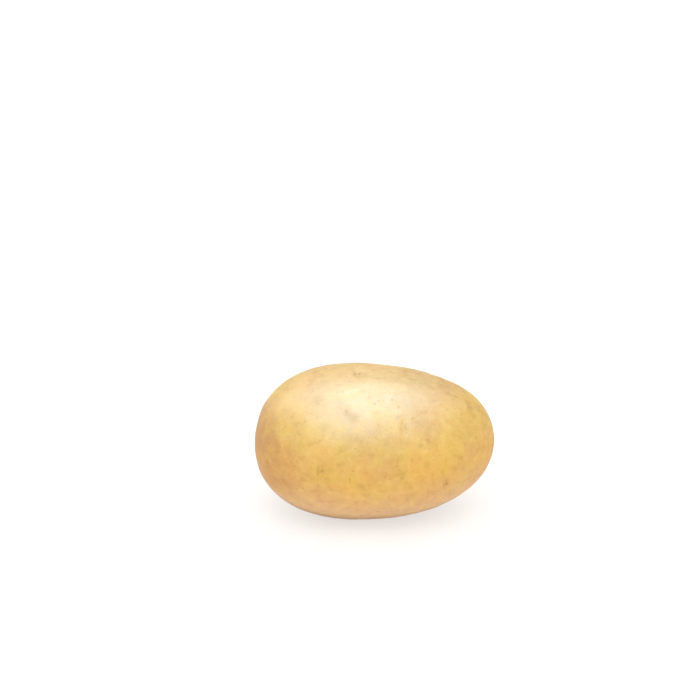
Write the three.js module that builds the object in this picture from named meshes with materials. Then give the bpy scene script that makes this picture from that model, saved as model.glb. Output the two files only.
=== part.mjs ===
// A long-oval, yellow-skinned potato tuber lying on its side: one solid piece, as it grew.
// Millimetres, +Z up. The long axis runs along X, from the heel at -X, where the tuber hung
// on its stolon, to the rose end at +X, where the eyes crowd together. The origin is on the
// surface that the tuber rests on, under the middle of its length and width.
import * as THREE from "three";
import { mergeVertices } from "three/addons/utils/BufferGeometryUtils.js";

// Overall size
const LENGTH = 90;
const WIDTH = 63;
const HEIGHT = 55.5;

// Oval form: a superellipsoid that narrows from the heel to the rose end
const FULLNESS = 2.22; // 2 is an ellipsoid, and more fills out the shoulders
const TAPER = 0.085; // share of the girth lost at the rose end and gained at the heel
const SPINE_RISE = 0.4; // how far both ends of the long axis bend up
const ROSE_LIFT = 0.6; // how far the rose end lies above, and the heel below, the middle

// Broad swellings (height above 0) and hollows (below 0), placed by their direction from the middle.
// The spread is the angle over which one fades.
const SWELLINGS = [
  { toward: [-0.75, -0.62, 0.1], height: 0.5, spread: 30 }, // front of the heel
  { toward: [0.35, -0.9, -0.1], height: 0.4, spread: 32 }, // front, right of the middle
  { toward: [-0.2, -0.85, -0.45], height: -0.35, spread: 24 }, // low on the front
  { toward: [0.25, 0.95, 0.15], height: -1.3, spread: 34 }, // back, a shallow waist
  { toward: [-0.5, 0.75, 0.4], height: 0.9, spread: 30 }, // back of the heel
  { toward: [0.7, 0.6, -0.3], height: 0.7, spread: 28 }, // back of the rose end
  { toward: [0.3, 0.3, 0.9], height: -0.5, spread: 26 }, // crown
];

// Eyes sit on a spiral from the heel to the rose end, each turned by the golden angle from the last
const EYE_COUNT = 15;
const EYE_TURN = 137.5; // degrees
const EYE_START = 261; // degrees from +Y towards +Z, at the heel
const EYE_FIRST_STEP = 0.6; // share of a step between the heel and the first eye
const EYE_CROWDING = 0.7; // 1 spaces the eyes evenly, and less crowds them at the rose end
const EYE_ROSE_SCALE = 0.7; // size of the last eye, as a share of the first
const FAINT_EVERY = 2; // one eye in this many is faint
const FAINT_FIRST = 1; // the first faint one, where the eye next to the heel is 0
const FAINT_STRENGTH = 0.4; // relief of a faint eye, as a share of a full one

// One eye at the heel: a shallow bowl below a curved brow, which is on the heel side of the bowl
const BOWL_HALF_WIDTH = 4.6;
const BOWL_HALF_LENGTH = 2.6;
const BOWL_DEPTH = 0.65;
const BROW_OFFSET = 3.4; // from the middle of the bowl to the middle of the brow
const BROW_RADIUS = 9;
const BROW_HALF_WIDTH = 5.5;
const BROW_HALF_THICKNESS = 1.3;
const BROW_HEIGHT = 0.25;

// Scar of the stolon at the heel: a hollow with a corky button in it
const SCAR_TOWARD = [-1, 0.16, 0.05];
const SCAR_HOLLOW_RADIUS = 5.5;
const SCAR_HOLLOW_DEPTH = 1.2;
const SCAR_BUTTON_RADIUS = 1.7;
const SCAR_BUTTON_HEIGHT = 0.6;

// Underside: this much of the oval is pressed flat to make the spot that the tuber rests on
const REST_DEPTH = 0.8;

// Each of the 20 faces of the starting icosahedron is split into (SPLITS + 1) squared triangles
const SPLITS = 19;

const SKIN_COLOUR = 0xe3b566;
const SKIN_ROUGHNESS = 0.55;

const X_AXIS = new THREE.Vector3(1, 0, 0);

// Bell curve: 1 at 0, and falling to 1/e at the half width.
function bell(distance, halfWidth) {
  return Math.exp(-((distance / halfWidth) ** 2));
}

// Point of the plain oval in a direction from its middle.
function ovalPoint(direction) {
  const { x, y, z } = direction;
  const sum = Math.abs(x) ** FULLNESS + Math.abs(y) ** FULLNESS + Math.abs(z) ** FULLNESS;
  const unit = direction.clone().multiplyScalar(sum ** (-1 / FULLNESS));
  const girth = 1 - TAPER * unit.x;
  return new THREE.Vector3(
    (LENGTH / 2) * unit.x,
    (WIDTH / 2) * girth * unit.y,
    (HEIGHT / 2) * girth * unit.z + SPINE_RISE * unit.x ** 2 + ROSE_LIFT * unit.x,
  );
}

// Outward normal of the oval at one of its points, taken from the ellipsoid of the same size.
function ovalNormal(point) {
  return new THREE.Vector3(
    point.x / LENGTH ** 2,
    point.y / WIDTH ** 2,
    point.z / HEIGHT ** 2,
  ).normalize();
}

// Height of all swellings and hollows together, in a direction from the middle.
function swellingHeight(direction) {
  return SWELLINGS.reduce((sum, { toward, height, spread }) => {
    const angle = direction.angleTo(new THREE.Vector3(...toward));
    return sum + height * bell(angle, THREE.MathUtils.degToRad(spread));
  }, 0);
}

// Local axes at a place on the skin: outward, along the tuber towards the rose end, and across it.
function skinFrame(direction) {
  const point = ovalPoint(direction);
  const out = ovalNormal(point);
  const along = X_AXIS.clone().addScaledVector(out, -out.x).normalize();
  return { point, out, along, across: out.clone().cross(along) };
}

// The eyes' places, sizes and strengths, from the heel to the rose end.
function eyeFrames() {
  return Array.from({ length: EYE_COUNT }, (_, i) => {
    const share = (i + EYE_FIRST_STEP) / EYE_COUNT;
    const x = 2 * share ** EYE_CROWDING - 1;
    const turn = THREE.MathUtils.degToRad(EYE_START + i * EYE_TURN);
    const girth = Math.sqrt(1 - x ** 2);
    const direction = new THREE.Vector3(x, girth * Math.cos(turn), girth * Math.sin(turn));
    const scale = THREE.MathUtils.lerp(1, EYE_ROSE_SCALE, share);
    const strength = i % FAINT_EVERY === FAINT_FIRST ? FAINT_STRENGTH : 1;
    return { ...skinFrame(direction), scale, strength };
  });
}

// Relief of one eye at a point of the oval.
function eyeRelief(eye, point) {
  const offset = point.clone().sub(eye.point).divideScalar(eye.scale);
  const across = offset.dot(eye.across);
  const along = offset.dot(eye.along);
  const browLine = across ** 2 / (2 * BROW_RADIUS) - BROW_OFFSET;
  const sameSide = bell(offset.dot(eye.out), WIDTH / 4);
  const bowl = bell(across, BOWL_HALF_WIDTH) * bell(along, BOWL_HALF_LENGTH);
  const brow = bell(across, BROW_HALF_WIDTH) * bell(along - browLine, BROW_HALF_THICKNESS);
  return eye.strength * eye.scale * sameSide * (BROW_HEIGHT * brow - BOWL_DEPTH * bowl);
}

// Relief of the stolon's scar at a point of the oval.
function scarRelief(scar, point) {
  const distance = point.distanceTo(scar.point);
  return (
    SCAR_BUTTON_HEIGHT * bell(distance, SCAR_BUTTON_RADIUS) -
    SCAR_HOLLOW_DEPTH * bell(distance, SCAR_HOLLOW_RADIUS)
  );
}

// The whole skin: the oval with its swellings, eyes and scar, pressed flat where it rests.
function tuberGeometry() {
  const sphere = new THREE.IcosahedronGeometry(1, SPLITS);
  sphere.deleteAttribute("normal");
  sphere.deleteAttribute("uv");
  const geometry = mergeVertices(sphere);
  const position = geometry.getAttribute("position");
  const eyes = eyeFrames();
  const scar = skinFrame(new THREE.Vector3(...SCAR_TOWARD).normalize());
  const direction = new THREE.Vector3();
  for (let i = 0; i < position.count; i++) {
    direction.fromBufferAttribute(position, i).normalize();
    const point = ovalPoint(direction);
    const relief =
      swellingHeight(direction) +
      scarRelief(scar, point) +
      eyes.reduce((sum, eye) => sum + eyeRelief(eye, point), 0);
    point.addScaledVector(ovalNormal(point), relief);
    position.setXYZ(i, point.x, point.y, point.z);
  }
  pressFlat(position);
  fitToSize(geometry);
  geometry.computeVertexNormals();
  return geometry;
}

// Raises the lowest points to one level, which makes the flat resting spot.
function pressFlat(position) {
  const heights = Array.from({ length: position.count }, (_, i) => position.getZ(i));
  const level = Math.min(...heights) + REST_DEPTH;
  heights.forEach((z, i) => position.setZ(i, Math.max(z, level)));
}

// Gives the tuber exactly its overall size, and puts the origin under its middle.
function fitToSize(geometry) {
  geometry.computeBoundingBox();
  const size = geometry.boundingBox.getSize(new THREE.Vector3());
  geometry.scale(LENGTH / size.x, WIDTH / size.y, HEIGHT / size.z);
  geometry.computeBoundingBox();
  const middle = geometry.boundingBox.getCenter(new THREE.Vector3());
  geometry.translate(-middle.x, -middle.y, -geometry.boundingBox.min.z);
}

const skin = new THREE.MeshStandardMaterial({
  name: "potato_skin",
  color: SKIN_COLOUR,
  roughness: SKIN_ROUGHNESS,
  metalness: 0,
});

const tuber = new THREE.Mesh(tuberGeometry(), skin);
tuber.name = "potato";

const potato = new THREE.Group();
potato.add(tuber);

export default potato;
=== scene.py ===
"""The looks of a long-oval, yellow-skinned potato tuber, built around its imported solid.

The tuber is one piece. Geometry Nodes grow it from the rule that the solid follows, at a much finer grain:
the oval with its swellings, the spiral of eyes, the scar of the stolon and the flat spot that it rests on.
The fine relief of the skin then lies on top. Sizes are in metres where no other unit is given, and places
are in the solid's own frame.
"""
import math

import bpy
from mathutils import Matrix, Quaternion, Vector


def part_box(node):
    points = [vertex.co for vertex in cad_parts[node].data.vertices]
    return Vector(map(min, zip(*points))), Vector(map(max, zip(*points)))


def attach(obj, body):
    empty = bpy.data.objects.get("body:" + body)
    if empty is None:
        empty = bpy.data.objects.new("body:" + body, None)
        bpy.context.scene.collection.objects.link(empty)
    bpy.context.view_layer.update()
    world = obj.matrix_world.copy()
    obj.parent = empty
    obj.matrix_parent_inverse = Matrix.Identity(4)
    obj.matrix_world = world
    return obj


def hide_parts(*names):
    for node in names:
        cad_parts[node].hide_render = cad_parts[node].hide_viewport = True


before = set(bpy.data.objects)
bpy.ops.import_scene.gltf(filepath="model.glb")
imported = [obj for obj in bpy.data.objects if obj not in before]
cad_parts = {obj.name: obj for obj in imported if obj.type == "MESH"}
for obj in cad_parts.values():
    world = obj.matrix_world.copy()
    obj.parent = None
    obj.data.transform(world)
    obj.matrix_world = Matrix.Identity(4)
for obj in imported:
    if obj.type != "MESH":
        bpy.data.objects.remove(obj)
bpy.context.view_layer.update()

MM = 0.001
NODE = "potato"
BODY = "root"

# Oval form, as in the solid
FULLNESS = 2.22
TAPER = 0.085
SPINE_RISE = 0.4 * MM
ROSE_LIFT = 0.6 * MM
REST_DEPTH = 0.8 * MM

# Broad swellings and hollows, as in the solid: direction from the middle, height, and spread in degrees
SWELLINGS = [
    ((-0.75, -0.62, 0.1), 0.5 * MM, 30),
    ((0.35, -0.9, -0.1), 0.4 * MM, 32),
    ((-0.2, -0.85, -0.45), -0.35 * MM, 24),
    ((0.25, 0.95, 0.15), -1.3 * MM, 34),
    ((-0.5, 0.75, 0.4), 0.9 * MM, 30),
    ((0.7, 0.6, -0.3), 0.7 * MM, 28),
    ((0.3, 0.3, 0.9), -0.5 * MM, 26),
]

# Spiral of eyes, as in the solid
EYE_COUNT = 15
EYE_TURN = math.radians(137.5)
EYE_START = math.radians(261)
EYE_FIRST_STEP = 0.6
EYE_CROWDING = 0.7
EYE_ROSE_SCALE = 0.7
FAINT_EVERY = 2
FAINT_FIRST = 1
FAINT_STRENGTH = 0.4

# One eye, as in the solid
BOWL_HALF_WIDTH = 4.6 * MM
BOWL_HALF_LENGTH = 2.6 * MM
BOWL_DEPTH = 0.65 * MM
BROW_OFFSET = 3.4 * MM
BROW_RADIUS = 9 * MM
BROW_HALF_WIDTH = 5.5 * MM
BROW_HALF_THICKNESS = 1.3 * MM
BROW_HEIGHT = 0.25 * MM

# What is too fine for the solid: the crease at the foot of the brow, and the buds in the bowl
CREASE_OFFSET = 1.7 * MM
CREASE_HALF_WIDTH = 2.4 * MM
CREASE_HALF_THICKNESS = 0.55 * MM
CREASE_DEPTH = 0.2 * MM
BUD_RADIUS = 0.8 * MM
BUD_HEIGHT = 0.2 * MM
SIDE_BUD_OFFSET = 2.0 * MM
SIDE_BUD_SHARE = 0.45

# How far from its middle an eye colours the skin
EYE_REACH = 6 * MM

# Scar of the stolon, as in the solid
SCAR_TOWARD = (-1, 0.16, 0.05)
SCAR_HOLLOW_RADIUS = 5.5 * MM
SCAR_HOLLOW_DEPTH = 1.2 * MM
SCAR_BUTTON_RADIUS = 1.7 * MM
SCAR_BUTTON_HEIGHT = 0.6 * MM

# Fine relief of the skin: the width of one wave and its height, then the breathing pores
WAVES = [(16 * MM, 0.25 * MM), (5.5 * MM, 0.12 * MM), (1.7 * MM, 0.045 * MM)]
PORE_CELL = 2.6 * MM
PORE_RADIUS = 0.8 * MM
PORE_SHARE = 0.6
PORE_HEIGHT = 0.05 * MM

# Height over which the fine relief comes in, above the resting spot
RELIEF_HEIGHTS = (0.3 * MM, 2.5 * MM)

# The skin's mesh starts as a cube with this many points along each edge
CUBE_POINTS = 126

# The map that the finish is baked on: the cube's sides in columns and rows, and how much of its part of
# the map each side fills
MAP_COLUMNS = 3
MAP_ROWS = 2
MAP_FILL = 0.985

# What the skin's mesh stores for its finish: the place within the nearest eye, and the distance to the scar
EYE_PLACE = "eye_place"
SCAR_DISTANCE = "scar_distance"

# Colours of the skin
GOLDEN = (0.74, 0.41, 0.074, 1)
YELLOW = (0.76, 0.47, 0.095, 1)
CROWN_TAN = (0.79, 0.46, 0.13, 1)
TAN = (0.66, 0.38, 0.11, 1)
OLIVE = (0.69, 0.475, 0.08, 1)
ORANGE = (0.77, 0.385, 0.095, 1)
# Painted yellow reflected light on the upper shoulders
SHOULDER_BOUNCE_YELLOW = (0.80, 0.50, 0.058, 1)
# Painted reflected light from the floor on the belly
BELLY_BOUNCE_PEACH = (0.67, 0.41, 0.23, 1)
PALE = (0.82, 0.55, 0.155, 1)
# Painted shade along the foot, where the tuber meets the floor
FOOT_SHADE_BROWN = (0.32, 0.185, 0.08, 1)
# The ends' own tan, deepened with painted shade
END_TAN_AND_SHADE = (0.54, 0.26, 0.075, 1)
SPECK_BROWN = (0.45, 0.20, 0.03, 1)
STAIN_OLIVE = (0.46, 0.27, 0.06, 1)
EYE_BROWN = (0.28, 0.12, 0.022, 1)
CORK = (0.36, 0.185, 0.07, 1)

# The coats of colour follow. A pair of heights, lengths or radii, or a range of noise, says where a coat
# begins and where it is full. A cover is the share of what lies under a full coat that it hides.

# Ground colour: golden round the middle, yellow above it and tan on the crown, with tan patches
YELLOW_HEIGHTS = (22 * MM, 40 * MM)
CROWN_HEIGHTS = (42 * MM, 52 * MM)
TAN_PATCH_WIDTH = 20 * MM
TAN_PATCH_RANGE = (0.40, 0.68)
TAN_PATCH_COVER = 0.7

# Olive and orange flushes, which are fainter on the upper side, and painted yellow reflected light on the
# shoulders there
FLUSH_WIDTH = 9 * MM
OLIVE_RANGE = (0.48, 0.70)
ORANGE_RANGE = (0.52, 0.30)
FLUSH_COVER = 0.36
UPPER_HEIGHTS = (34 * MM, 45 * MM)
UPPER_FLUSH_LOSS = 0.18
HEEL_SHOULDER_LENGTHS = (-22 * MM, -34 * MM)
HEEL_SHOULDER_BOUNCE_COVER = 0.6
ROSE_SHOULDER_LENGTHS = (24 * MM, 35 * MM)
ROSE_SHOULDER_BOUNCE_COVER = 0.28

# The peach belly, painted reflected light from the floor, and the brown foot under it, painted shade where
# it meets the floor, which climb towards both ends by so many metres of height for each square metre
BELLY_CURVE = 3.2
BELLY_BOUNCE_HEIGHTS = (26 * MM, 7 * MM)
BELLY_BOUNCE_COVER = 0.78
FOOT_SHADE_HEIGHTS = (9.5 * MM, 3.5 * MM)
FOOT_SHADE_COVER = 0.8

# Mottling, pale and dark
MOTTLE_WIDTH = 3.5 * MM
PALE_RANGE = (0.45, 0.75)
PALE_COVER = 0.48
DARK_RANGE = (0.48, 0.28)
DARK_COVER = 0.27

# The browner ends, partly their own tan and partly painted shade, whose borders wander by noise, and the
# patches in which they are thinner
HEEL_TAN_LENGTHS = (-23 * MM, -41 * MM)
HEEL_TAN_AND_SHADE_COVER = 0.92
ROSE_TAN_LENGTHS = (38 * MM, 47.5 * MM)
ROSE_TAN_AND_SHADE_COVER = 0.68
END_TOP_HEIGHTS = (53 * MM, 31 * MM)
END_FOOT_HEIGHTS = (4 * MM, 15 * MM)
END_WANDER = 20 * MM
END_WANDER_WIDTH = 9 * MM
END_PALE_COVER = 0.14
PATCH_WIDTH = 9 * MM
PATCH_RANGE = (0.42, 0.62)
PATCH_LOSS = 0.38

# The fine net of the skin, its freckles, and its specks among the breathing pores
NET_WIDTH = 2.4 * MM
NET_LINE = 0.025
NET_PATCH_COVER = 0.16
NET_END_COVER = 0.18
FRECKLE_WIDTH = 0.9 * MM
FRECKLE_RANGE = (0.60, 0.74)
FRECKLE_COVER = 0.22
SPECK_CELL = 1.5 * MM
SPECK_RADIUS = 0.36 * MM
SPECK_SHARE = 0.4
SPOT_COVER = 0.28

# Pores and specks: the smallest dot as a share of the largest, and the share of a dot that is full
SMALLEST_DOT = 0.4
DOT_CORE = 0.4

# Stains on the front of the skin: place and radius in millimetres, and cover
STAINS = [
    ((-10, -22, 48.5), 1.8, 0.35),
    ((-7.5, -23.5, 47.5), 1.7, 0.35),
    ((-4.5, -31, 24), 1.5, 0.47),
    ((-18.5, -25, 44), 1.9, 0.34),
    ((16.5, -27, 38), 1.0, 0.39),
    ((-13, -31, 32), 0.8, 0.455),
    ((-15.5, -30.5, 22), 0.8, 0.39),
    ((-3.5, -30.5, 20), 0.9, 0.39),
    ((10, -30.5, 26.5), 0.8, 0.39),
    ((-21, -15, 51), 2.3, 0.35),
]
STAIN_EDGE = 1.6 * MM
STAIN_EDGE_WIDTH = 1.2 * MM

# Brown in the eyes, and how far noise shifts its edges
RAGGED_WIDTH = 1.1 * MM
EYE_EDGE_ACROSS = 1.4 * MM
EYE_EDGE_ALONG = 1.0 * MM
CREASE_LINE_HALF_THICKNESS = 0.4 * MM
BOWL_COVER = 0.18
CREASE_COVER = 0.30
BUD_COVER = 0.38

# Cork on the scar, in a brown halo, with a dark heart
SCAR_EDGE = 3.5 * MM
CORK_RADII = (3.2 * MM, 1.2 * MM)
CORK_COVER = 0.75
HALO_RADIUS = 5.0 * MM
HALO_COVER = 0.40
HEART_RADIUS = 1.1 * MM
HEART_COVER = 0.8

# Bump of the skin's grain, and of its pores, net and cork as shares of the grain's
BUMP_STRENGTH = 0.3
BUMP_HEIGHT = 0.12 * MM
GRAIN_WIDTH = 0.55 * MM
PORE_BUMP = 0.6
NET_BUMP = 0.3
CORK_GRAIN_WIDTH = 0.7 * MM
CORK_BUMP = 2

# Roughness of the glossiest skin, and what the sheen's noise and each kind of mark add to it
GLOSSIEST = 0.33
SHEEN_WIDTH = 7 * MM
SHEEN_ROUGHNESS = 0.16
MOTTLE_ROUGHNESS = 0.32
SPOT_ROUGHNESS = 0.12
CORK_ROUGHNESS = 0.20
BUD_ROUGHNESS = 0.35
STAIN_ROUGHNESS = 0.25

# How light bends at the skin and scatters in the flesh
SKIN_IOR = 1.45
SCATTER_WEIGHT = 0.12
SCATTER_RADIUS = (1.0, 0.55, 0.25)
SCATTER_SCALE = 2 * MM

# The photograph's frame and view
PHOTO_SIDE = 700
TUBER_PIXEL = (375, 440)
VIEW_ELEVATION = math.radians(25)
VIEW_DISTANCE = 734.6 * MM
LENS_MM = 100
SENSOR_MM = 36

# Surroundings: a floor that glows a little, an even white world, and softboxes that face the tuber
FLOOR_HALF_SIDE = 6.0
FLOOR_GREY = (0.48, 0.48, 0.48, 1)
FLOOR_GLOW = 0.58
WHITE = (1, 1, 1, 1)
WORLD_STRENGTH = 1.08
SOFTBOX_AIM = (0, 0, 30 * MM)
FRONT_SOFTBOX = {"place": (0, -0.7, 0.9), "size": (0.9, 0.6), "watts": 1.2}
BACK_GLOSS = {"place": (-0.4, 0.35, 0.6), "size": (0.35, 0.75), "watts": 8.5, "gloss_only": True}
TOP_GLOSS = {
    "place": (-0.005, -0.08, 0.6),
    "size": (0.32, 1.05),
    "watts": 29,
    "colour": (0.48, 0.84, 1.0),
    "gloss_only": True,
    "turn": math.radians(-9),
}


class Term:
    """An output socket of a node. Arithmetic on it adds Math nodes, or Vector Math nodes for vectors."""

    def __init__(self, nodes, socket):
        self.nodes = nodes
        self.socket = socket

    @property
    def is_vector(self):
        return self.socket.type == "VECTOR"

    def __getitem__(self, output):
        """Another output of the same node, by its name or number."""
        return Term(self.nodes, self.socket.node.outputs[output])

    def _join(self, operation, left, right):
        vectors = [isinstance(side, Term) and side.is_vector for side in (left, right)]
        if not any(vectors):
            return self.nodes.math(operation, left, right)
        if operation == "MULTIPLY" and not all(vectors):
            vector, scale = (left, right) if vectors[0] else (right, left)
            return self.nodes.vector("SCALE", vector, scale=scale)
        return self.nodes.vector(operation, left, right)

    def __add__(self, other):
        return self._join("ADD", self, other)

    def __radd__(self, other):
        return self._join("ADD", other, self)

    def __sub__(self, other):
        return self._join("SUBTRACT", self, other)

    def __rsub__(self, other):
        return self._join("SUBTRACT", other, self)

    def __mul__(self, other):
        return self._join("MULTIPLY", self, other)

    def __rmul__(self, other):
        return self._join("MULTIPLY", other, self)

    def __truediv__(self, other):
        return self._join("DIVIDE", self, other)

    def __rtruediv__(self, other):
        return self._join("DIVIDE", other, self)

    def __pow__(self, other):
        return self._join("POWER", self, other)

    def as_vector(self):
        """A colour as a vector, by adding it to a zero vector."""
        return self.nodes.vector("ADD", self)

    @property
    def x(self):
        return self.nodes.split(self)["X"]

    @property
    def y(self):
        return self.nodes.split(self)["Y"]

    @property
    def z(self):
        return self.nodes.split(self)["Z"]


class Nodes:
    """A node tree, shader or geometry, that nodes are added to."""

    def __init__(self, tree):
        self.tree = tree

    def add(self, kind, settings=None, sockets=None, output=0):
        """A node of a kind, with its settings set first and then its sockets' values or links."""
        node = self.tree.nodes.new(kind)
        for name, value in (settings or {}).items():
            setattr(node, name, value)
        for name, value in (sockets or {}).items():
            if isinstance(value, Term):
                self.tree.links.new(value.socket, node.inputs[name])
            else:
                node.inputs[name].default_value = value
        return Term(self, node.outputs[output]) if node.outputs else node

    def math(self, operation, *values):
        return self.add("ShaderNodeMath", {"operation": operation}, dict(enumerate(values)))

    def vector(self, operation, *values, scale=None, output="Vector"):
        sockets = dict(enumerate(values))
        if scale is not None:
            sockets["Scale"] = scale
        return self.add("ShaderNodeVectorMath", {"operation": operation}, sockets, output)

    def dot(self, left, right):
        return self.vector("DOT_PRODUCT", left, right, output="Value")

    def distance(self, left, right):
        return self.vector("DISTANCE", left, right, output="Value")

    def unit(self, vector):
        return self.vector("NORMALIZE", vector)

    def split(self, vector):
        return self.add("ShaderNodeSeparateXYZ", None, {"Vector": vector}, "X")

    def join(self, x, y, z):
        return self.add("ShaderNodeCombineXYZ", None, {"X": x, "Y": y, "Z": z})

    def bell(self, distance, half_width):
        """1 at 0, falling to 1/e at the half width."""
        share = distance / half_width
        return self.math("EXPONENT", share * share * -1)

    def step(self, value, begins, full):
        """Goes smoothly from 0 where the value begins to 1 where it is full, which may be the lower one."""
        sockets = {"Value": value, "From Min": begins, "From Max": full}
        return self.add("ShaderNodeMapRange", {"interpolation_type": "SMOOTHSTEP"}, sockets)

    def noise(self, position, width, detail=2.0, roughness=0.5, seed=0.0):
        """Noise between 0 and 1 whose features have about this width."""
        moved = position + Vector((seed, -seed, 2 * seed)) if seed else position
        sockets = {"Vector": moved, "Scale": 1 / width, "Detail": detail, "Roughness": roughness}
        return self.add("ShaderNodeTexNoise", None, sockets)

    def blend(self, factor, low, high):
        """One colour changing to another as the factor goes from 0 to 1."""
        return self.add("ShaderNodeMix", {"data_type": "RGBA"}, {0: factor, 6: low, 7: high}, 2)


def dots(nodes, place, cell, radius, share):
    """Mask of round dots of mixed size, scattered over the skin in this share of the cells."""
    cells = nodes.add("ShaderNodeTexVoronoi", {"feature": "F1"}, {"Vector": place, "Scale": 1 / cell})
    chance = nodes.split(cells["Color"])
    size = (SMALLEST_DOT + (1 - SMALLEST_DOT) * chance["Y"]) * (radius / cell)
    return nodes.math("LESS_THAN", chance["X"], share) * nodes.step(cells / size, 1.0, DOT_CORE)


def breathing_pores(nodes, place):
    """Mask of the skin's breathing pores."""
    return dots(nodes, place, PORE_CELL, PORE_RADIUS, PORE_SHARE)


def brow_line(across):
    """Where the middle of an eye's brow lies along the tuber, at a distance across it."""
    return across * across * (0.5 / BROW_RADIUS) - BROW_OFFSET


def buds(nodes, across, along):
    """Mask of an eye's buds: one in the middle of the bowl, and a smaller one on each side."""
    middle = nodes.bell(across, BUD_RADIUS) * nodes.bell(along, BUD_RADIUS)
    aside = nodes.math("ABSOLUTE", across) - SIDE_BUD_OFFSET
    radius = SIDE_BUD_SHARE * BUD_RADIUS
    return nodes.bell(aside, radius) * nodes.bell(along, radius) * SIDE_BUD_SHARE + middle


class TuberTree:
    """The Geometry Nodes tree that grows the tuber's skin."""

    def __init__(self, sizes):
        self.tree = bpy.data.node_groups.new("tuber_skin", "GeometryNodeTree")
        self.nodes = Nodes(self.tree)
        face = self.tree.interface
        face.new_socket("Geometry", in_out="OUTPUT", socket_type="NodeSocketGeometry")
        self.identifiers = {}
        for name in sizes:
            socket = face.new_socket(name, in_out="INPUT", socket_type="NodeSocketFloat")
            self.identifiers[name] = socket.identifier
        entry = self.tree.nodes.new("NodeGroupInput")
        self.size = {name: Term(self.nodes, entry.outputs[name]) for name in sizes}

    def oval_point(self, direction):
        """Point of the plain oval in a direction from its middle."""
        n, size = self.nodes, self.size
        split = n.vector("ABSOLUTE", direction)
        powers = split.x ** FULLNESS + split.y ** FULLNESS + split.z ** FULLNESS
        unit = direction * powers ** (-1 / FULLNESS)
        girth = 1 - TAPER * unit.x
        bend = SPINE_RISE * unit.x * unit.x + ROSE_LIFT * unit.x
        return n.join(
            0.5 * size["Length"] * unit.x,
            0.5 * size["Width"] * girth * unit.y,
            0.5 * size["Height"] * girth * unit.z + bend,
        )

    def oval_normal(self, point):
        """Outward normal of the oval at one of its points, taken from the ellipsoid of the same size."""
        n, size = self.nodes, self.size
        box = n.join(size["Length"], size["Width"], size["Height"])
        return n.unit(point / (box * box))

    def swelling_height(self, direction):
        """Height of all swellings and hollows together, in a direction from the middle."""
        n = self.nodes
        total = 0.0
        for toward, height, spread in SWELLINGS:
            cosine = n.dot(direction, Vector(toward).normalized())
            angle = n.math("ARCCOSINE", cosine)
            total = n.bell(angle, math.radians(spread)) * height + total
        return total

    def eye_share(self, index):
        """How far along the spiral an eye is, from 0 at the heel to 1 at the rose end."""
        return (index + EYE_FIRST_STEP) / EYE_COUNT

    def eye_points(self):
        """One point for each eye, on the spiral round the oval."""
        n = self.nodes
        index = n.add("GeometryNodeInputIndex")
        x = 2 * self.eye_share(index) ** EYE_CROWDING - 1
        turn = index * EYE_TURN + EYE_START
        girth = n.math("SQRT", 1 - x * x)
        direction = n.join(x, girth * n.math("COSINE", turn), girth * n.math("SINE", turn))
        sockets = {"Count": EYE_COUNT, "Position": self.oval_point(direction)}
        return n.add("GeometryNodePoints", None, sockets)

    def nearest_eye(self, point):
        """Number and place of the eye that is nearest to a point."""
        n = self.nodes
        eyes = self.eye_points()
        sockets = {"Geometry": eyes, "Sample Position": point}
        number = n.add("GeometryNodeSampleNearest", {"domain": "POINT"}, sockets)
        place = n.add("GeometryNodeInputPosition")
        settings = {"data_type": "FLOAT_VECTOR", "domain": "POINT"}
        sockets = {"Geometry": eyes, "Value": place, "Index": number}
        return number, n.add("GeometryNodeSampleIndex", settings, sockets)

    def eye_relief(self, point):
        """Relief of the nearest eye, and the point's place in it: across, along, and how near it is."""
        n = self.nodes
        number, eye = self.nearest_eye(point)
        out = self.oval_normal(eye)
        along_axis = n.unit(n.join(1.0, 0.0, 0.0) - out * out.x)
        across_axis = n.vector("CROSS_PRODUCT", out, along_axis)
        scale = 1 - self.eye_share(number) * (1 - EYE_ROSE_SCALE)
        faint = n.math("COMPARE", n.math("MODULO", number, FAINT_EVERY), FAINT_FIRST, 0.5)
        strength = 1 - faint * (1 - FAINT_STRENGTH)
        offset = (point - eye) * (1 / scale)
        across = n.dot(offset, across_axis)
        along = n.dot(offset, along_axis)
        bowl = n.bell(across, BOWL_HALF_WIDTH) * n.bell(along, BOWL_HALF_LENGTH)
        to_brow = along - brow_line(across)
        brow = n.bell(across, BROW_HALF_WIDTH) * n.bell(to_brow, BROW_HALF_THICKNESS)
        to_crease = to_brow - CREASE_OFFSET
        crease = n.bell(across, CREASE_HALF_WIDTH) * n.bell(to_crease, CREASE_HALF_THICKNESS)
        large = brow * BROW_HEIGHT - bowl * BOWL_DEPTH
        fine = buds(n, across, along) * BUD_HEIGHT - crease * CREASE_DEPTH
        near = strength * n.bell(n.vector("LENGTH", offset, output="Value"), EYE_REACH)
        return strength * scale * (large + fine), n.join(across, along, near)

    def scar_relief(self, point):
        """Relief of the stolon's scar, and the distance from its middle."""
        n = self.nodes
        scar = self.oval_point(n.join(*Vector(SCAR_TOWARD).normalized()))
        distance = n.distance(point, scar)
        button = n.bell(distance, SCAR_BUTTON_RADIUS)
        hollow = n.bell(distance, SCAR_HOLLOW_RADIUS)
        return button * SCAR_BUTTON_HEIGHT - hollow * SCAR_HOLLOW_DEPTH, distance

    def move(self, geometry, position):
        """Moves each of the skin's points to a position."""
        sockets = {"Geometry": geometry, "Position": position}
        return self.nodes.add("GeometryNodeSetPosition", None, sockets)

    def keep(self, geometry, name, value, kind="FLOAT", domain="POINT"):
        """Stores a value on the skin, for the material or the export to read."""
        settings = {"data_type": kind, "domain": domain}
        sockets = {"Geometry": geometry, "Name": name, "Value": value}
        return self.nodes.add("GeometryNodeStoreNamedAttribute", settings, sockets)

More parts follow.
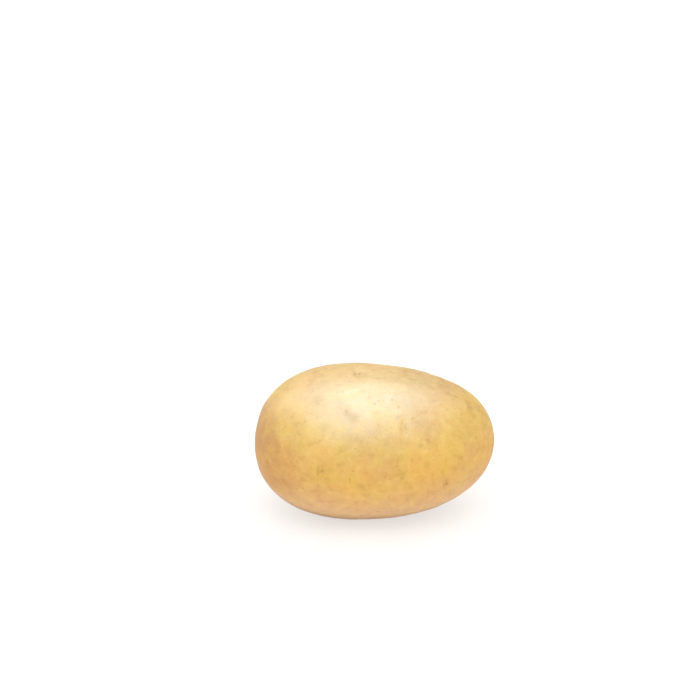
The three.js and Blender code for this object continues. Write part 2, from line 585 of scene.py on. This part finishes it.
    def bake_map(self, corner):
        """Flat map of the cube's six sides, in three columns and two rows."""
        n = self.nodes
        settings = {"data_type": "FLOAT_VECTOR", "domain": "FACE"}
        normal = n.add("GeometryNodeInputNormal")
        facing = n.add("GeometryNodeFieldOnDomain", settings, {"Value": normal})
        side = n.vector("ABSOLUTE", facing)
        across = facing.x * corner.y - facing.y * corner.x + facing.z * corner.x
        up = (side.x + side.y) * corner.z + side.z * corner.y
        column = side.y + side.z * 2
        row = (facing.x + facing.y + facing.z + 1) / 2
        u = (across * MAP_FILL / 2 + column + 0.5) / MAP_COLUMNS
        v = (up * MAP_FILL / 2 + row + 0.5) / MAP_ROWS
        return n.join(u, v, 0.0)

    def press_flat(self, geometry):
        """Raises the lowest points to one level, which makes the resting spot."""
        n = self.nodes
        low = n.add("GeometryNodeBoundBox", None, {"Geometry": geometry}, "Min")
        place = n.add("GeometryNodeInputPosition")
        height = n.math("MAXIMUM", place.z, low.z + REST_DEPTH)
        return self.move(geometry, n.join(place.x, place.y, height))

    def fit(self, geometry, cad_low):
        """Gives the skin the solid's box."""
        n, size = self.nodes, self.size
        low = n.add("GeometryNodeBoundBox", None, {"Geometry": geometry}, "Min")
        place = n.add("GeometryNodeInputPosition")
        box = n.join(size["Length"], size["Width"], size["Height"])
        return self.move(geometry, (place - low) / (low["Max"] - low) * box + cad_low)

    def roughen(self, geometry):
        """Lays the skin's fine relief over it, clear of the resting spot."""
        n = self.nodes
        place = n.add("GeometryNodeInputPosition")
        relief = breathing_pores(n, place) * PORE_HEIGHT
        for seed, (width, height) in enumerate(WAVES):
            relief = (n.noise(place, width, seed=seed) - 0.5) * (2 * height) + relief
        lifted = n.step(place.z, *RELIEF_HEIGHTS)
        normal = n.add("GeometryNodeInputNormal")
        return self.move(geometry, place + normal * (relief * lifted))

    def build(self, material, cad_low):
        """The whole tree: a cube from -1 to 1 along each axis is blown up to the oval with its relief."""
        n = self.nodes
        sockets = {"Size": (2, 2, 2)}
        for axis in "XYZ":
            sockets["Vertices " + axis] = CUBE_POINTS
        cube = n.add("GeometryNodeMeshCube", None, sockets)
        corner = n.add("GeometryNodeInputPosition")
        even = n.vector("TANGENT", corner * (math.pi / 4))
        direction = n.unit(even)
        point = self.oval_point(direction)
        eye, eye_place = self.eye_relief(point)
        scar, scar_distance = self.scar_relief(point)
        relief = self.swelling_height(direction) + eye + scar
        skin = self.keep(cube, "OFBake", self.bake_map(corner), "FLOAT2", "CORNER")
        skin = self.keep(skin, EYE_PLACE, eye_place, "FLOAT_VECTOR")
        skin = self.keep(skin, SCAR_DISTANCE, scar_distance)
        skin = self.move(skin, point + self.oval_normal(point) * relief)
        skin = self.press_flat(skin)
        skin = self.fit(skin, cad_low)
        skin = self.roughen(skin)
        skin = n.add("GeometryNodeSetShadeSmooth", None, {"Geometry": skin})
        skin = n.add("GeometryNodeRealizeInstances", None, {"Geometry": skin})
        skin = n.add("GeometryNodeSetMaterial", None, {"Geometry": skin, "Material": material})
        n.add("NodeGroupOutput", None, {"Geometry": skin})
        return self.tree


class SkinFinish:
    """The skin's material: coats of colour over each other, whose marks also shape its bump and gloss."""

    def __init__(self, name):
        self.material = bpy.data.materials.new(name)
        self.material.use_nodes = True
        self.material.node_tree.nodes.clear()
        self.nodes = Nodes(self.material.node_tree)
        self.place = self.nodes.add("ShaderNodeTexCoord", None, None, "Object")
        n, place = self.nodes, self.place
        self.x = place.x
        self.z = place.z
        self.colour = GOLDEN
        self.belly_height = self.z - self.x * self.x * BELLY_CURVE
        self.upper_side = n.step(self.z, *UPPER_HEIGHTS)
        self.mottle = n.noise(place, MOTTLE_WIDTH, detail=4.0, roughness=0.6, seed=3.0)
        self.pale_mottle = n.step(self.mottle, *PALE_RANGE)
        self.patches = n.step(n.noise(place, PATCH_WIDTH, seed=11.0), *PATCH_RANGE)
        self.ragged = n.noise(place, RAGGED_WIDTH, detail=3.0, roughness=0.6, seed=13.0) - 0.5

    def lay(self, mask, colour):
        """Lays a coat of colour over what is there, hiding it where the mask is 1."""
        self.colour = self.nodes.blend(mask, self.colour, colour)

    def ground(self):
        """Golden round the middle, yellow above it and tan on the crown, with tan patches."""
        n = self.nodes
        self.lay(n.step(self.z, *YELLOW_HEIGHTS), YELLOW)
        self.lay(n.step(self.z, *CROWN_HEIGHTS), CROWN_TAN)
        tan = n.noise(self.place, TAN_PATCH_WIDTH)
        self.lay(n.step(tan, *TAN_PATCH_RANGE) * TAN_PATCH_COVER, TAN)

    def flushes(self):
        """Olive and orange flushes, and painted yellow reflected light on the shoulders of both ends."""
        n = self.nodes
        flush = n.noise(self.place, FLUSH_WIDTH, detail=1.5, seed=19.0)
        cover = FLUSH_COVER - UPPER_FLUSH_LOSS * self.upper_side
        self.lay(n.step(flush, *OLIVE_RANGE) * cover, OLIVE)
        self.lay(n.step(flush, *ORANGE_RANGE) * cover, ORANGE)
        heel = n.step(self.x, *HEEL_SHOULDER_LENGTHS) * HEEL_SHOULDER_BOUNCE_COVER
        rose = n.step(self.x, *ROSE_SHOULDER_LENGTHS) * ROSE_SHOULDER_BOUNCE_COVER
        # Painted yellow reflected light on the upper shoulders of both ends
        self.lay((heel + rose) * self.upper_side, SHOULDER_BOUNCE_YELLOW)

    def belly_bounce_mottling_and_foot_shade(self):
        """The peach belly of painted reflected light, the mottling over it, and the brown foot of painted
        shade.
        """
        n = self.nodes
        # Painted reflected light from the floor, paler and pinker on the belly
        self.lay(n.step(self.belly_height, *BELLY_BOUNCE_HEIGHTS) * BELLY_BOUNCE_COVER, BELLY_BOUNCE_PEACH)
        self.lay(self.pale_mottle * PALE_COVER, PALE)
        self.lay(n.step(self.mottle, *DARK_RANGE) * DARK_COVER, SPECK_BROWN)
        # Painted shade along the foot, darkest where the tuber meets the floor
        self.lay(n.step(self.belly_height, *FOOT_SHADE_HEIGHTS) * FOOT_SHADE_COVER, FOOT_SHADE_BROWN)

    def ends(self):
        """The browner ends, partly their own tan and partly painted shade. Gives their mask."""
        n = self.nodes
        wander = (n.noise(self.place, END_WANDER_WIDTH, detail=3.0, seed=17.0) - 0.5) * END_WANDER
        heel = n.step(self.x + wander, *HEEL_TAN_LENGTHS) * HEEL_TAN_AND_SHADE_COVER
        rose = n.step(self.x + wander, *ROSE_TAN_LENGTHS) * ROSE_TAN_AND_SHADE_COVER
        ends = heel + rose
        below_top = n.step(self.z + wander, *END_TOP_HEIGHTS)
        above_foot = n.step(self.belly_height + wander, *END_FOOT_HEIGHTS)
        # Tan of the ends, deepened with painted shade below the top and above the foot
        self.lay(ends * (below_top * above_foot) * (1 - PATCH_LOSS * self.patches), END_TAN_AND_SHADE)
        self.lay(ends * self.pale_mottle * END_PALE_COVER, PALE)
        return ends

    def net(self, ends):
        """The fine net of the skin. Gives its mask."""
        n = self.nodes
        net = n.noise(self.place, NET_WIDTH, detail=3.0, roughness=0.55, seed=9.0)
        net = n.bell(net - 0.5, NET_LINE)
        self.lay(net * (self.patches * NET_PATCH_COVER + ends * NET_END_COVER), SPECK_BROWN)
        return net

    def spots(self, pores):
        """Freckles, and specks among the breathing pores. Gives the mask of the specks and pores."""
        n = self.nodes
        freckles = n.noise(self.place, FRECKLE_WIDTH, roughness=0.6, seed=5.0)
        self.lay(n.step(freckles, *FRECKLE_RANGE) * FRECKLE_COVER, SPECK_BROWN)
        specks = dots(n, self.place, SPECK_CELL, SPECK_RADIUS, SPECK_SHARE)
        spots = n.math("MAXIMUM", pores, specks)
        self.lay(spots * SPOT_COVER, SPECK_BROWN)
        return spots

    def stains(self):
        """The stains, with ragged edges. Gives their mask."""
        n = self.nodes
        noise = n.noise(self.place, STAIN_EDGE_WIDTH, detail=3.0)["Color"].as_vector()
        ragged = self.place + (noise - Vector((0.5, 0.5, 0.5))) * STAIN_EDGE
        stains = 0.0
        for spot, radius, cover in STAINS:
            distance = n.distance(ragged, Vector(spot) * MM)
            stains = n.bell(distance, radius * MM) * cover + stains
        self.lay(stains, STAIN_OLIVE)
        return stains

    def eyes(self):
        """Brown in the bowl and crease of each eye, and round its buds. Gives the buds' mask."""
        n = self.nodes
        eye = n.split(n.add("ShaderNodeAttribute", {"attribute_name": EYE_PLACE}, None, "Vector"))
        across = eye["X"] + self.ragged * EYE_EDGE_ACROSS
        along = eye["Y"] + self.ragged * EYE_EDGE_ALONG
        near = eye["Z"]
        bowl = n.bell(across, BOWL_HALF_WIDTH) * n.bell(along, BOWL_HALF_LENGTH)
        to_crease = along - brow_line(across) - CREASE_OFFSET
        crease = n.bell(across, CREASE_HALF_WIDTH) * n.bell(to_crease, CREASE_LINE_HALF_THICKNESS)
        bud = buds(n, across, along) * near
        self.lay(bowl * near * BOWL_COVER, SPECK_BROWN)
        self.lay(crease * near * CREASE_COVER, EYE_BROWN)
        self.lay(bud * BUD_COVER, EYE_BROWN)
        return bud

    def scar(self):
        """A ragged patch of cork on the stolon's scar, in a brown halo. Gives the cork's mask."""
        n = self.nodes
        distance = n.add("ShaderNodeAttribute", {"attribute_name": SCAR_DISTANCE}, None, "Fac")
        distance = distance + self.ragged * SCAR_EDGE
        cork = n.step(distance, *CORK_RADII)
        self.lay(n.bell(distance, HALO_RADIUS) * HALO_COVER, SPECK_BROWN)
        self.lay(cork * CORK_COVER, CORK)
        self.lay(n.bell(distance, HEART_RADIUS) * HEART_COVER, EYE_BROWN)
        return cork

    def bump(self, pores, net, cork):
        """Normal of the skin, from its grain, pores, net and cork."""
        n = self.nodes
        grain = n.noise(self.place, GRAIN_WIDTH, detail=3.0, roughness=0.6)
        crust = cork * n.noise(self.place, CORK_GRAIN_WIDTH, detail=4.0)
        height = grain + pores * PORE_BUMP + net * self.patches * NET_BUMP + crust * CORK_BUMP
        sockets = {"Strength": BUMP_STRENGTH, "Distance": BUMP_HEIGHT, "Height": height}
        return n.add("ShaderNodeBump", None, sockets)

    def roughness(self, spots, stains, bud, cork):
        """Roughness of the skin, which is satin, and duller on its marks."""
        sheen = self.nodes.noise(self.place, SHEEN_WIDTH, detail=3.0, seed=15.0)
        satin = GLOSSIEST + SHEEN_ROUGHNESS * sheen + MOTTLE_ROUGHNESS * self.mottle
        marks = SPOT_ROUGHNESS * spots + STAIN_ROUGHNESS * stains
        return satin + marks + CORK_ROUGHNESS * cork + BUD_ROUGHNESS * bud


def skin_material():
    """Thin satin skin: golden yellow with tan mottling, dark specks, and brown in the eyes."""
    skin = SkinFinish("potato_skin")
    n = skin.nodes
    skin.ground()
    skin.flushes()
    skin.belly_bounce_mottling_and_foot_shade()
    net = skin.net(skin.ends())
    pores = breathing_pores(n, skin.place)
    spots = skin.spots(pores)
    stains = skin.stains()
    bud = skin.eyes()
    cork = skin.scar()
    shader = n.add("ShaderNodeBsdfPrincipled", None, {
        "Base Color": skin.colour,
        "Roughness": skin.roughness(spots, stains, bud, cork),
        "Normal": skin.bump(pores, net, cork),
        "IOR": SKIN_IOR,
        "Subsurface Weight": SCATTER_WEIGHT,
        "Subsurface Radius": SCATTER_RADIUS,
        "Subsurface Scale": SCATTER_SCALE,
    })
    n.add("ShaderNodeOutputMaterial", None, {"Surface": shader})
    return skin.material


def grow_tuber(material):
    """The tuber as one plain mesh, in the box of the solid that it replaces."""
    low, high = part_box(NODE)
    box = high - low
    sizes = {"Length": box.x, "Width": box.y, "Height": box.z}
    tuber_tree = TuberTree(sizes)
    tree = tuber_tree.build(material, low)

    seed_mesh = bpy.data.meshes.new("tuber_seed")
    tuber = bpy.data.objects.new("tuber", seed_mesh)
    bpy.context.scene.collection.objects.link(tuber)
    modifier = tuber.modifiers.new("grow", "NODES")
    modifier.node_group = tree
    for name, value in sizes.items():
        modifier[tuber_tree.identifiers[name]] = value

    graph = bpy.context.evaluated_depsgraph_get()
    mesh = bpy.data.meshes.new_from_object(tuber.evaluated_get(graph), depsgraph=graph)
    tuber.modifiers.clear()
    tuber.data = mesh
    mesh.name = "tuber"
    bpy.data.meshes.remove(seed_mesh)
    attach(tuber, BODY)
    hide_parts(NODE)


def add_camera():
    """The photograph's view: the tuber has the size and place in the frame that it has there."""
    low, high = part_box(NODE)
    middle = (low + high) / 2
    to_camera = Vector((0, -math.cos(VIEW_ELEVATION), math.sin(VIEW_ELEVATION)))
    right = Vector((1, 0, 0))
    up = to_camera.cross(right)
    pixel = VIEW_DISTANCE * SENSOR_MM / LENS_MM / PHOTO_SIDE
    right_of_centre = (TUBER_PIXEL[0] - PHOTO_SIDE / 2) * pixel
    below_centre = (TUBER_PIXEL[1] - PHOTO_SIDE / 2) * pixel
    aim = middle - right * right_of_centre + up * below_centre
    camera = bpy.data.objects.new("camera", bpy.data.cameras.new("camera"))
    camera.data.lens = LENS_MM
    camera.data.sensor_width = SENSOR_MM
    camera.location = middle + to_camera * VIEW_DISTANCE
    camera.rotation_euler = (aim - camera.location).to_track_quat("-Z", "Y").to_euler()
    bpy.context.scene.collection.objects.link(camera)
    bpy.context.scene.camera = camera


def add_floor():
    """A pale floor that gives off a little light of its own, like a light table."""
    side = FLOOR_HALF_SIDE
    mesh = bpy.data.meshes.new("floor")
    corners = [(-side, -side, 0), (side, -side, 0), (side, side, 0), (-side, side, 0)]
    mesh.from_pydata(corners, [], [(0, 1, 2, 3)])
    floor = bpy.data.objects.new("floor", mesh)
    material = bpy.data.materials.new("floor_white")
    material.use_nodes = True
    shader = material.node_tree.nodes["Principled BSDF"]
    shader.inputs["Base Color"].default_value = FLOOR_GREY
    shader.inputs["Specular IOR Level"].default_value = 0.0
    shader.inputs["Emission Color"].default_value = WHITE
    shader.inputs["Emission Strength"].default_value = FLOOR_GLOW
    mesh.materials.append(material)
    bpy.context.scene.collection.objects.link(floor)


def add_softbox(name, place, size, watts, colour=(1, 1, 1), gloss_only=False, turn=0.0):
    """A rectangular softbox that faces the tuber, turned about the line to it."""
    light = bpy.data.lights.new(name, "AREA")
    light.shape = "RECTANGLE"
    light.size, light.size_y = size
    light.energy = watts
    light.color = colour
    softbox = bpy.data.objects.new(name, light)
    softbox.location = place
    facing = (Vector(SOFTBOX_AIM) - Vector(place)).to_track_quat("-Z", "Y")
    softbox.rotation_euler = (facing @ Quaternion((0, 0, 1), turn)).to_euler()
    softbox.visible_diffuse = not gloss_only
    bpy.context.scene.collection.objects.link(softbox)


def add_world():
    """Even white light from all round, which leaves the gloss to the softboxes."""
    world = bpy.data.worlds.new("studio")
    bpy.context.scene.world = world
    world.use_nodes = True
    background = world.node_tree.nodes["Background"]
    background.inputs["Color"].default_value = WHITE
    background.inputs["Strength"].default_value = WORLD_STRENGTH
    world.cycles_visibility.glossy = False
    bpy.context.scene.view_settings.view_transform = "Standard"


add_camera()
grow_tuber(skin_material())
add_floor()
add_softbox("front_softbox", **FRONT_SOFTBOX)
add_softbox("top_gloss", **TOP_GLOSS)
add_softbox("back_gloss", **BACK_GLOSS)
add_world()
